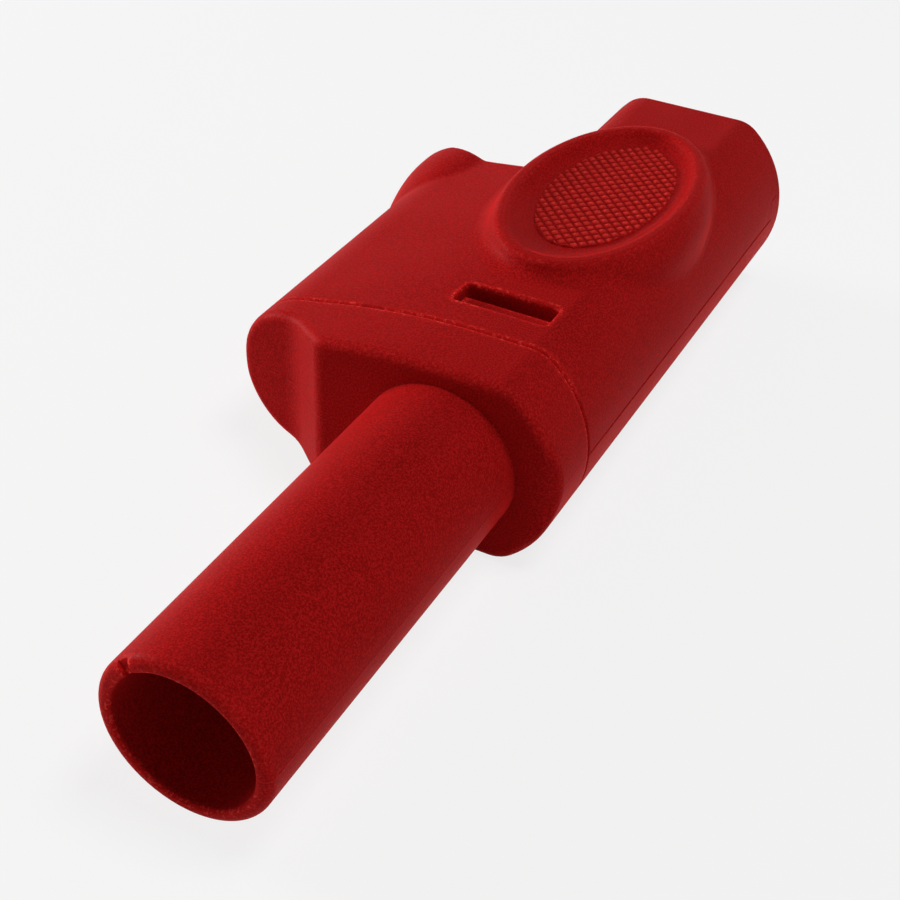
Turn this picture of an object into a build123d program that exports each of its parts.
"""Stackable 4 mm safety plug with a fixed sleeve, a side cable lobe and a socket in its rear end.

Millimetres, +Z up.  The origin is on the sleeve's axis, in the front face of the nose, where a
socket seats.  The sleeve points along -Y, the stacking socket opens towards +Y, and the cable lobe
lies on the -X side.  The housing rests on its flat underside.
"""
import os
from math import ceil, cos, radians, sin, sqrt, tan

from build123d import *

# Contact sizes that everything round the axis follows
contact_diameter = 4.0
socket_bore = 4.0
socket_tube_wall = 0.65
close_fit = 0.03
collar_wall = 0.47

# Sleeve, the tube that shrouds the contact pin
stack_clearance = 0.15
sleeve_wall = 0.7
sleeve_length = 20.3
sleeve_floor_depth = 0.8
sleeve_rim_round = 0.45
sleeve_lead_in = 0.12
gate_nick_width = 0.6
gate_nick_depth = 0.22
gate_nick_angle = 38.0

# Cross-section of the housing: a flattened barrel, a sloping shoulder and a round cable lobe
flat_wall = 0.75
barrel_wall = 1.75
lobe_diameter = 7.5
lobe_offset = 8.9
shoulder_slope = 12.2
crease_round = 1.8
shoulder_round = 38.0
parting_chamfer = 0.07

# Lengths along the plug's axis, counted from the nose's front face
nose_depth = 3.7
wide_end = 21.0
rear_rim_round = 0.35
seam_chamfer = 0.12

# Plan of the nose: a flat front, a ridge and a finger scoop in front of the lobe
nose_corner_round = 1.5
corner_overhang = 0.15
ridge_offset = 6.65
ridge_round = 1.1
scoop_wall_angle = 37.5
scoop_offset = 9.0
scoop_round = 3.0
scoop_floor_angle = 12.0
scoop_end_round = 0.9
nose_edge_round = 0.5

# Cable flare at the lobe's rear end, and the sweep of the wide part's rear edge towards it
flare_offset = 9.7
flare_reach = 1.7
flare_length = 6.5
flare_start_radius = 2.75
flare_mid_setback = 3.8
flare_mid_radius = 3.66
flare_radius = 4.0
flare_straight = 1.2
flare_rim_round = 0.8
flare_blend = 1.5
sweep_mid_offset = 8.3
sweep_mid_depth = 0.45
sweep_edge_round = 0.4

# Finger pad on top, an oval with a sunken floor
pad_centre = 18.0
pad_foot_half_width = 5.4
pad_foot_half_length = 8.9
pad_foot_round = 0.9
pad_crest_half_width = 4.75
pad_crest_half_length = 8.5
pad_height = 0.9
pad_skirt = 3.4
pad_rim_width = 0.65
pad_rim_round = 0.36
dish_rim_round = 0.3
pad_floor_half_width = 3.1
pad_floor_half_length = 6.2
pad_floor_shift = 0.65
pad_floor_depth = 0.7
dish_slope = 50.0
dish_steps = 3

# Diamond knurl on the pad's floor
knurl_pitch = 0.483
knurl_height = 0.17

# Latch windows in both flats, and the nose's tongues that snap into them
window_width = 5.0
window_length = 1.7
window_start = 5.7
window_bevel = 0.12
window_corner_round = 0.25
tongue_clearance = 0.15
tongue_thickness = 0.75
tongue_slit = 0.4
catch_height = 0.5
spigot_length = 1.7
spigot_wall = 0.9
fit_clearance = 0.1
boss_diameter = 7.0
boss_flat = 2.75
nose_front_wall = 1.6

# Walls inside the housing
shell_wall = 1.1
web_thickness = 1.0
well_clearance = 0.25
well_spare_depth = 0.3
cable_diameter = 4.0
cable_clearance = 0.1
grip_height = 0.2
grip_width = 0.5
grip_pitch = 1.2
grip_count = 2
peg_diameter = 0.9
peg_height = 1.4
peg_clearance = 0.05
front_peg_setback = 2.0
rear_peg_setback = 5.0
rear_peg_stagger = 1.0
key_length = 1.8
key_height = 1.2

# Contact: a turned pin in front, an anchor flange and a socket tube behind
pin_recess = 4.8
pin_tip_length = 1.6
pin_tip_round = 0.9
neck_diameter = 3.0
neck_length = 12.4
stub_diameter = 2.0
stub_length = 1.1
seat_diameter = 4.2
flange_setback = 8.4
flange_diameter = 7.4
flange_thickness = 1.1
socket_recess = 3.5
socket_depth = 16.4
socket_lead_in = 0.3

# Lantern spring round the neck
lantern_sheet = 0.2
lantern_band = 1.3
lantern_swell = 0.1
lantern_slots = 8
lantern_slot_width = 0.45
lantern_split = 0.25
lantern_end_gap = 0.1

# Insulating collar round the socket tube
collar_mouth_clearance = 0.2
collar_recess = 0.5
collar_flange_thickness = 0.8

# Link from the contact to the cable terminal
link_thickness = 0.8
link_main_radius = 3.3
link_end_radius = 2.3
rivet_diameter = 1.8
rivet_head_diameter = 2.8
rivet_head_thickness = 0.35

# Cable terminal and its clamp screw
terminal_diameter = 5.0
terminal_length = 9.2
terminal_bore = 2.6
terminal_bore_depth = 7.8
terminal_end_gap = 0.2
clamp_screw_diameter = 2.5
clamp_screw_length = 1.6
clamp_screw_setback = 4.8
clamp_screw_sink = 0.4
screw_slot_width = 0.45
screw_slot_depth = 0.6

# Diameters round the axis: each layer follows from the one inside it
socket_tube_diameter = socket_bore + 2 * socket_tube_wall
collar_diameter = socket_tube_diameter + 2 * (close_fit + collar_wall)
collar_mouth = socket_bore + 2 * collar_mouth_clearance
sleeve_bore = collar_diameter + 2 * stack_clearance
sleeve_diameter = sleeve_bore + 2 * sleeve_wall
well_diameter = sleeve_diameter + 2 * well_clearance
barrel_radius = well_diameter / 2 + barrel_wall
half_height = well_diameter / 2 + flat_wall
lobe_radius = lobe_diameter / 2
crest = half_height + pad_height

# Stations along the axis that follow from the lengths above
flange_start = flange_setback
flange_end = flange_start + flange_thickness
web_start = flange_end + collar_flange_thickness
well_floor = web_start + web_thickness
barrel_end = well_floor + sleeve_length + well_spare_depth
link_start = flange_start - link_thickness
pin_start = pin_recess - sleeve_length
neck_start = pin_start + pin_tip_length
neck_end = neck_start + neck_length
socket_mouth = barrel_end - socket_recess
terminal_end = flange_start + terminal_length
flare_end = wide_end + flare_reach
flare_mid = flare_end - flare_mid_setback
flare_start = flare_end - flare_length
big = 3 * barrel_end


def along_axis(profile, start, end):
    """Extrude a profile drawn in X and Z from one station along the axis to another."""
    return extrude(Plane.XZ.offset(-start) * profile, amount=start - end)


def rod(diameter, start, end, x=0.0):
    """A round bar parallel to the plug's axis."""
    return along_axis(Pos(x, 0) * Circle(diameter / 2), start, end)


def turned(outline, x=0.0):
    """Revolve an outline drawn as radius against station about an axis parallel to Y."""
    return revolve(Pos(x, 0, 0) * outline, Axis((x, 0, 0), (0, 1, 0)))


def block(x, y, z):
    """A box from three (low, high) pairs."""
    size = [high - low for low, high in (x, y, z)]
    centre = [(high + low) / 2 for low, high in (x, y, z)]
    return Pos(*centre) * Box(*size)


def softened(body, edges, radius):
    """Round the edges by the radius, or by the largest part of it that their faces leave room for."""
    for part in (1.0, 0.6, 0.3):
        try:
            rounded = body.fillet(radius * part, edges)
        except (ValueError, RuntimeError):
            continue
        if rounded.is_valid:
            return rounded
    return body


def shoulder_edge(inset=0.0):
    """X of the line where the flat top turns into the sloping shoulder."""
    slope = radians(shoulder_slope)
    return -lobe_offset + (cos(slope) * (half_height - inset) - (lobe_radius - inset)) / sin(slope)


def wide_section(inset=0.0):
    """The housing's cross-section with its cable lobe, shrunk by an inset all round."""
    slope = radians(shoulder_slope)
    top = half_height - inset
    right = barrel_radius - inset
    round_lobe = lobe_radius - inset
    crease = sqrt(right**2 - top**2)
    shoulder = shoulder_edge(inset)
    lobe_x = -lobe_offset - round_lobe * sin(slope)
    lobe_z = round_lobe * cos(slope)
    section = make_face(
        Polyline((crease, top), (shoulder, top), (lobe_x, lobe_z))
        + ThreePointArc((lobe_x, lobe_z), (-lobe_offset - round_lobe, 0), (lobe_x, -lobe_z))
        + Polyline((lobe_x, -lobe_z), (shoulder, -top), (crease, -top))
        + ThreePointArc((crease, -top), (right, 0), (crease, top))
    )
    section = rounded_corners(section, crease, top, crease_round - inset)
    return rounded_corners(section, shoulder, top, shoulder_round - inset)


def barrel_section():
    """The narrow rear barrel: round at both sides, flat on top and underneath."""
    crease = sqrt(barrel_radius**2 - half_height**2)
    left = shoulder_edge()
    section = make_face(
        Line((crease, half_height), (left, half_height))
        + ThreePointArc((left, half_height), (-barrel_radius, 0), (left, -half_height))
        + Line((left, -half_height), (crease, -half_height))
        + ThreePointArc((crease, -half_height), (barrel_radius, 0), (crease, half_height))
    )
    section = rounded_corners(section, crease, half_height, crease_round)
    return rounded_corners(section, left, half_height, crease_round)


def rounded_corners(section, x, height, radius):
    """Round a section's upper and lower corner at an x, where the radius leaves anything to round."""
    if radius < 0.1:
        return section
    for z in (height, -height):
        corner = section.vertices().sort_by_distance((x, z, 0))[0]
        section = fillet(corner, radius)
    return section


def nose_plan():
    """Plan outline of the nose, with its ridge and the scoop in front of the cable lobe."""
    right = barrel_radius + corner_overhang
    side = lobe_offset + lobe_radius + corner_overhang
    scoop_y = (scoop_offset - ridge_offset) * tan(radians(scoop_wall_angle))
    end_y = scoop_y + (side - scoop_offset) * tan(radians(scoop_floor_angle))
    outline = make_face(
        Polyline(
            (right, nose_depth),
            (right, 0),
            (-ridge_offset, 0),
            (-scoop_offset, scoop_y),
            (-side, end_y),
            (-side, nose_depth),
            close=True,
        )
    )
    rounds = {
        (right, 0): nose_corner_round,
        (-ridge_offset, 0): ridge_round,
        (-scoop_offset, scoop_y): scoop_round,
        (-side, end_y): scoop_end_round,
    }
    for (x, y), radius in rounds.items():
        corner = outline.vertices().sort_by_distance((x, y, 0))[0]
        outline = fillet(corner, radius)
    return outline


def nose_shroud():
    """Sleeve and nose in one moulding, with a spigot and two snap tongues behind the seam."""
    head = along_axis(wide_section(), 0, nose_depth) & extrude(nose_plan(), half_height + 1, both=True)
    front = [edge for edge in head.edges() if edge.center().Y < nose_depth - 0.1 and not is_upright(edge)]
    head = softened(head, front, nose_edge_round)
    seam = head.faces().sort_by(Axis.Y)[-1].edges()
    head = head.chamfer(seam_chamfer, None, seam)

    spigot_end = nose_depth + spigot_length
    gap = shell_wall + fit_clearance
    lobe_floor = nose_depth - seam_chamfer
    spigot = along_axis(wide_section(gap), nose_front_wall, spigot_end)
    spigot -= along_axis(wide_section(gap + spigot_wall), nose_front_wall, spigot_end)
    spigot &= block((-big, big), (nose_depth - 0.5, spigot_end), (-big, big))
    pocket = along_axis(wide_section(gap + spigot_wall), nose_front_wall, nose_depth)
    keep = block((-big, -ridge_offset + 1.5), (0, lobe_floor), (-big, big))
    head -= pocket - keep
    boss = rod(boss_diameter, nose_front_wall - 0.2, link_start)
    boss &= block((-big, big), (0, big), (-boss_flat, boss_flat))

    window_end = window_start + window_length
    tongue_end = window_end - tongue_clearance
    half_tongue = window_width / 2 - tongue_clearance
    tongue_top = half_height - shell_wall - fit_clearance
    catch_top = tongue_top + fit_clearance + catch_height
    for side in (1, -1):
        low, high = sorted((side * (tongue_top - tongue_thickness), side * tongue_top))
        for edge in (half_tongue, -half_tongue - tongue_slit):
            reach = sorted((side * (boss_flat + 0.05), side * half_height))
            spigot -= block((edge, edge + tongue_slit), (nose_depth, big), reach)
        tongue = block((-half_tongue, half_tongue), (nose_depth - 0.5, tongue_end), (low, high))
        tongue &= along_axis(wide_section(gap), nose_front_wall, tongue_end)
        catch = make_face(
            Polyline(
                (window_start + tongue_clearance, side * (tongue_top - 0.2)),
                (window_start + tongue_clearance, side * catch_top),
                (tongue_end - 0.35, side * catch_top),
                (tongue_end, side * tongue_top),
                (tongue_end, side * (tongue_top - 0.2)),
                close=True,
            )
        )
        spigot += tongue + extrude(Plane.YZ.offset(-half_tongue) * catch, amount=2 * half_tongue)

    sleeve = rod(sleeve_diameter, -sleeve_length, 0.5)
    rim = sleeve.faces().sort_by(Axis.Y)[0].edges()
    sleeve = sleeve.fillet(sleeve_rim_round, rim)
    shroud = head + spigot + boss + sleeve
    shroud -= rod(sleeve_bore, -sleeve_length, sleeve_floor_depth)
    bore = sleeve_bore / 2
    mouth = Polyline(
        (bore - 0.1, -sleeve_length),
        (bore + sleeve_lead_in, -sleeve_length),
        (bore, sleeve_lead_in - sleeve_length),
        (bore - 0.1, sleeve_lead_in - sleeve_length),
        close=True,
    )
    shroud -= turned(make_face(mouth))
    rim_middle = (sleeve_bore + sleeve_diameter) / 4
    nick = Pos(0, -sleeve_length, rim_middle) * Box(gate_nick_width, 2 * gate_nick_depth, sleeve_diameter / 8)
    shroud -= Rot(0, -gate_nick_angle, 0) * nick
    shroud -= rod(seat_diameter + 2 * close_fit, 0, link_start)
    return shroud


def is_upright(edge):
    """Whether an edge runs straight up and down."""
    box = edge.bounding_box().size
    return box.X < 0.001 and box.Y < 0.001


def knurl():
    """Square pyramids in diagonal rows, as two sets of crossing ridges cut to the floor's oval."""
    reach = pad_floor_half_length + 2 * knurl_pitch
    count = ceil(reach / knurl_pitch)
    floor = crest - pad_floor_depth
    teeth = [(-count * knurl_pitch, floor - knurl_height)]
    for i in range(-count, count):
        teeth.append((i * knurl_pitch, floor))
        teeth.append(((i + 0.5) * knurl_pitch, floor + knurl_height))
    teeth.append((count * knurl_pitch, floor))
    teeth.append((count * knurl_pitch, floor - knurl_height))
    ridges = extrude(Plane.XZ * make_face(Polyline(*teeth, close=True)), reach, both=True)
    oval = extrude(Ellipse(pad_floor_half_width, pad_floor_half_length), 2 * crest)
    crossed = (Rot(0, 0, 45) * ridges) & (Rot(0, 0, -45) * ridges) & oval
    return Pos(0, pad_centre + pad_floor_shift, 0) * crossed


def pad():
    """The oval finger pad, raised above the flat, with a dished rim round its sunken floor."""

    def oval(half_width, half_length, z, shift=0.0):
        return Pos(0, pad_centre + shift, z) * Ellipse(half_width, half_length)

    foot_width, foot_length = pad_foot_half_width, pad_foot_half_length
    lean_width = foot_width - pad_crest_half_width
    lean_length = foot_length - pad_crest_half_length
    wall = [oval(foot_width, foot_length, half_height - pad_skirt * part) for part in (1, 0.7, 0.4)]
    for part, height in ((0.04, -0.5), (0.3, 0.1), (1, pad_height)):
        wall.append(
            oval(foot_width - lean_width * part, foot_length - lean_length * part, half_height + height)
        )
    raised = loft(wall)
    raised = raised.fillet(pad_rim_round, raised.faces().sort_by(Axis.Z)[-1].edges())
    inner_width = pad_crest_half_width - pad_rim_width
    inner_length = pad_crest_half_length - pad_rim_width
    slope = radians(dish_slope)
    rise = []
    for i in range(dish_steps + 1):
        turn = slope * i / dish_steps
        out = sin(turn) / sin(slope)
        up = (1 - cos(turn)) / (1 - cos(slope))
        rise.append(
            oval(
                pad_floor_half_width + (inner_width - pad_floor_half_width) * out,
                pad_floor_half_length + (inner_length - pad_floor_half_length) * out,
                crest - pad_floor_depth * (1 - up),
                pad_floor_shift * (1 - out),
            )
        )
    dish = loft(rise) + extrude(oval(inner_width, inner_length, crest), pad_floor_depth)
    return raised, dish


def housing_body():
    """Outside of the closed housing, before it is parted and hollowed."""
    wide = along_axis(wide_section(), nose_depth, flare_end)
    flare_outline = make_face(
        Polyline((flare_radius, flare_end - flare_straight), (flare_radius, flare_end), (0, flare_end))
        + Polyline((0, flare_end), (0, flare_start), (flare_start_radius, flare_start))
        + Spline(
            (flare_start_radius, flare_start),
            (flare_mid_radius, flare_mid),
            (flare_radius, flare_end - flare_straight),
            tangents=[(0.45, 1), (0, 1)],
        )
    )
    flare = turned(flare_outline, -flare_offset)
    rear = flare.faces().sort_by(Axis.Y)[-1].edges()
    flare = flare.fillet(flare_rim_round, rear)
    behind = make_face(
        ThreePointArc(
            (-barrel_radius + 1, wide_end),
            (-sweep_mid_offset, wide_end + sweep_mid_depth),
            (-flare_offset - flare_radius / 2, flare_end),
        )
        + Polyline(
            (-flare_offset - flare_radius / 2, flare_end),
            (-flare_offset - flare_radius / 2, flare_end + 1),
            (barrel_radius + 1, flare_end + 1),
            (barrel_radius + 1, wide_end),
            (-barrel_radius + 1, wide_end),
        )
    )
    lobe = wide & block((-lobe_offset - 0.5, big), (0, big), (-big, big))
    lobe += wide & block((-big, 0), (0, flare_mid + 1), (-big, big))
    lobe = (lobe + flare) - extrude(behind, half_height + 1, both=True)
    joint = [edge for edge in lobe.edges() if flare_start < edge.bounding_box().min.Y < flare_mid + 0.6]
    lobe = softened(lobe, joint, flare_blend)
    swept = [edge for edge in lobe.edges() if on_sweep(edge.bounding_box())]
    lobe = softened(lobe, swept, sweep_edge_round)
    barrel = along_axis(barrel_section(), wide_end - 2, barrel_end)
    rim = barrel.faces().sort_by(Axis.Y)[-1].edges()
    barrel = softened(barrel, rim, rear_rim_round)
    body = lobe + barrel
    seam = body.faces().sort_by(Axis.Y)[0].edges()
    return body.chamfer(seam_chamfer, None, seam)


def on_sweep(box):
    """Whether a box holds an upper or lower edge of the wide part's swept rear end."""
    behind = box.min.Y > wide_end - 0.05 and box.max.X < 0 and box.min.X > -flare_offset - flare_radius
    return behind and abs(box.min.Z + box.max.Z) > 4 and box.size.X > 0.05 and box.size.Z < 3


def housing_cavity():
    """Everything inside the closed housing that is not plastic."""
    lobe_chamber = lobe_diameter - 2 * shell_wall
    cable_bore = cable_diameter + 2 * cable_clearance
    chamber_end = terminal_end + terminal_end_gap
    cavity = along_axis(wide_section(shell_wall), nose_depth, web_start)
    cavity += rod(collar_diameter + 2 * close_fit, web_start, well_floor)
    cavity += rod(well_diameter, well_floor, barrel_end)
    cavity += rod(lobe_chamber, web_start, chamber_end, -lobe_offset)
    cable_way = rod(cable_bore, chamber_end, flare_end, -flare_offset)
    for i in range(grip_count):
        start = chamber_end + grip_width / 2 + i * grip_pitch
        ring = rod(cable_bore + 1, start, start + grip_width, -flare_offset)
        cable_way -= ring - rod(cable_bore - 2 * grip_height, start, start + grip_width, -flare_offset)
    cavity += cable_way
    for side in (1, -1):
        depth = sorted((side * (half_height - shell_wall - 0.2), side * (half_height + 1)))
        middle = window_start + window_length / 2
        outline = RectangleRounded(window_width, window_length, window_corner_round)
        cavity += Pos(0, middle, depth[0]) * extrude(outline, depth[1] - depth[0])
        mouth = extrude(outline, 2 * window_bevel, taper=-45)
        turn = Rot(0, 0 if side > 0 else 180, 0)
        cavity += Pos(0, middle, 0) * turn * Pos(0, 0, half_height - window_bevel) * mouth
    return cavity


def on_pad_foot(edge):
    """Whether an edge lies where the pad's wall meets the housing."""
    box = edge.bounding_box()
    if box.size.Y < 0.02 or box.max.Z > half_height + 0.05 or box.min.Z < half_height - pad_skirt:
        return False
    for share in (0.02, 0.5, 0.98):
        place = edge.position_at(share)
        across = (place.X / (pad_foot_half_width - 0.1)) ** 2
        along = ((place.Y - pad_centre) / (pad_foot_half_length - 0.07)) ** 2
        if abs(across + along - 1) > 0.06:
            return False
    return True


def is_dish_mouth(box, end):
    """Whether a box holds an edge of the dish's mouth, which lies level in the pad's crest."""
    level = box.size.Z < 0.01 and abs(box.max.Z - crest) < 0.01
    return level and box.size.Y > 0.5 and box.max.Y < end + 0.01


def housing_halves():
    """The upper half with the finger pad, and the lower half with its pegs and rear key."""
    cavity = housing_cavity()
    raised, dish = pad()
    shell = housing_body()
    upper = shell & block((-big, big), (0, big), (0, big))
    upper = upper.chamfer(parting_chamfer, None, upper.faces().sort_by(Axis.Z)[0].edges())
    lower = shell & block((-big, big), (0, big), (-big, 0))
    lower = lower.chamfer(parting_chamfer, None, lower.faces().sort_by(Axis.Z)[-1].edges())
    lower -= cavity
    upper += raised
    upper = softened(upper, [edge for edge in upper.edges() if on_pad_foot(edge)], pad_foot_round)
    upper -= dish
    mouth_end = pad_centre + pad_crest_half_length - pad_rim_width
    mouth = [edge for edge in upper.edges() if is_dish_mouth(edge.bounding_box(), mouth_end)]
    upper = softened(upper, mouth, dish_rim_round)
    upper = upper + knurl() - cavity

    wall_middle = (barrel_radius + well_diameter / 2) / 2
    pegs = [
        (wall_middle, well_floor + front_peg_setback),
        (-wall_middle, well_floor + front_peg_setback),
        (wall_middle, barrel_end - rear_peg_setback),
        (-wall_middle, barrel_end - rear_peg_setback + rear_peg_stagger),
    ]
    for x, y in pegs:
        hole = Pos(x, y, 0) * extrude(Circle(peg_diameter / 2 + peg_clearance), peg_height + 0.2)
        upper -= hole
        lower += Pos(x, y, -0.5) * extrude(Circle(peg_diameter / 2), peg_height + 0.5)

    key_start = barrel_end - key_length
    key = shell & block((well_diameter / 2 - 1, big), (key_start, big), (-0.5, key_height))
    upper -= block((well_diameter / 2 - 1, big), (key_start, big), (-0.5, key_height))
    lower += key - rod(well_diameter, key_start, barrel_end)
    return upper, lower


def contact_body():
    """The turned contact: stub, neck, shoulder, seat, flange and socket tube on one axis."""
    stub = stub_diameter / 2
    neck = neck_diameter / 2
    full = contact_diameter / 2
    seat = seat_diameter / 2
    tube = socket_tube_diameter / 2
    outline = make_face(
        Polyline(
            (0, neck_start - stub_length),
            (stub, neck_start - stub_length),
            (stub, neck_start),
            (neck, neck_start),
            (neck, neck_end),
            (full, neck_end),
            (full, sleeve_floor_depth),
            (seat, sleeve_floor_depth),
            (seat, flange_start),
            (flange_diameter / 2, flange_start),
            (flange_diameter / 2, flange_end),
            (tube, flange_end),
            (tube, socket_mouth),
            (socket_bore / 2 + socket_lead_in, socket_mouth),
            (socket_bore / 2, socket_mouth - socket_lead_in),
            (socket_bore / 2, socket_mouth - socket_depth),
            (0, socket_mouth - socket_depth),
            close=True,
        )
    )
    return turned(outline)


def pin_tip():
    """The rounded cap pressed over the contact's stub; it keeps the lantern spring on."""
    cap = rod(contact_diameter, pin_start, neck_start)
    nose = cap.faces().sort_by(Axis.Y)[0].edges()
    cap = cap.fillet(pin_tip_round, nose)
    return cap - rod(stub_diameter + 2 * close_fit, neck_start - stub_length, neck_start)


def lantern_spring():
    """A rolled sheet with two plain bands and bowed strips between them."""
    start = neck_start + lantern_end_gap
    end = neck_end - lantern_end_gap
    inner = neck_diameter / 2 + close_fit
    outer = inner + lantern_sheet
    bowed = contact_diameter / 2 + lantern_swell
    middle = (start + end) / 2
    outline = make_face(
        Polyline((outer, start + lantern_band), (outer, start), (inner, start))
        + Line((inner, start), (inner, start + lantern_band))
        + ThreePointArc(
            (inner, start + lantern_band), (bowed - lantern_sheet, middle), (inner, end - lantern_band)
        )
        + Polyline((inner, end - lantern_band), (inner, end), (outer, end), (outer, end - lantern_band))
        + ThreePointArc((outer, end - lantern_band), (bowed, middle), (outer, start + lantern_band))
    )
    cage = turned(outline)
    half_slot = lantern_slot_width / 2
    slot = block(
        (-half_slot, half_slot), (start + lantern_band, end - lantern_band), (0, contact_diameter)
    )
    for i in range(lantern_slots):
        cage -= Rot(0, i * 360 / lantern_slots, 0) * slot
    half_split = lantern_split / 2
    return cage - block((-half_split, half_split), (start, end), (0, contact_diameter))


def socket_collar():
    """The insulating tube round the socket, with a flange in front and a narrow mouth behind."""
    tube = collar_diameter / 2
    inside = socket_tube_diameter / 2 + close_fit
    outline = make_face(
        Polyline(
            (inside, flange_end),
            (flange_diameter / 2, flange_end),
            (flange_diameter / 2, web_start),
            (tube, web_start),
            (tube, barrel_end - collar_recess - 0.2),
            (tube - 0.2, barrel_end - collar_recess),
            (collar_mouth / 2 + 0.4, barrel_end - collar_recess),
            (collar_mouth / 2, barrel_end - collar_recess - 0.4),
            (collar_mouth / 2, socket_mouth),
            (inside, socket_mouth),
            close=True,
        )
    )
    return turned(outline)


def contact_link():
    """The stamped plate that joins the contact to the cable terminal."""
    ends = Circle(link_main_radius).edges() + (Pos(-lobe_offset, 0) * Circle(link_end_radius)).edges()
    plate = along_axis(make_hull(ends), link_start, flange_start)
    plate -= rod(seat_diameter + 2 * close_fit, link_start, flange_start)
    return plate - rod(rivet_diameter + 2 * close_fit, link_start, flange_start, -lobe_offset)


def cable_terminal():
    """The barrel that takes the stripped cord end, riveted to the link."""
    barrel = rod(terminal_diameter, flange_start, terminal_end, -lobe_offset)
    barrel += rod(rivet_diameter, link_start, flange_start, -lobe_offset)
    barrel += rod(rivet_head_diameter, link_start - rivet_head_thickness, link_start, -lobe_offset)
    barrel -= rod(terminal_bore, terminal_end - terminal_bore_depth, terminal_end, -lobe_offset)
    tapped = extrude(Circle(clamp_screw_diameter / 2 + close_fit), terminal_diameter)
    return barrel - Pos(-lobe_offset, terminal_end - clamp_screw_setback, 0) * tapped


def clamp_screw():
    """The slotted grub screw that holds the conductor."""
    top = terminal_diameter / 2 - clamp_screw_sink
    screw = Pos(0, 0, top) * extrude(Circle(clamp_screw_diameter / 2), -clamp_screw_length)
    tip = screw.faces().sort_by(Axis.Z)[0].edges()
    screw = screw.chamfer(0.3, None, tip)
    half_slot = screw_slot_width / 2
    slot = block((-half_slot, half_slot), (-clamp_screw_diameter, clamp_screw_diameter), (top - screw_slot_depth, top))
    return Pos(-lobe_offset, terminal_end - clamp_screw_setback, 0) * (screw - slot)


def main():
    upper, lower = housing_halves()
    pieces = {
        "nose_shroud": nose_shroud(),
        "upper_housing": upper,
        "lower_housing": lower,
        "contact_body": contact_body(),
        "pin_tip": pin_tip(),
        "lantern_spring": lantern_spring(),
        "socket_collar": socket_collar(),
        "contact_link": contact_link(),
        "cable_terminal": cable_terminal(),
        "clamp_screw": clamp_screw(),
    }
    os.makedirs("parts", exist_ok=True)
    for node, solid in pieces.items():
        export_step(solid, f"parts/{node}.step")
        print(node, len(solid.solids()), round(solid.volume, 2), solid.bounding_box())


main()
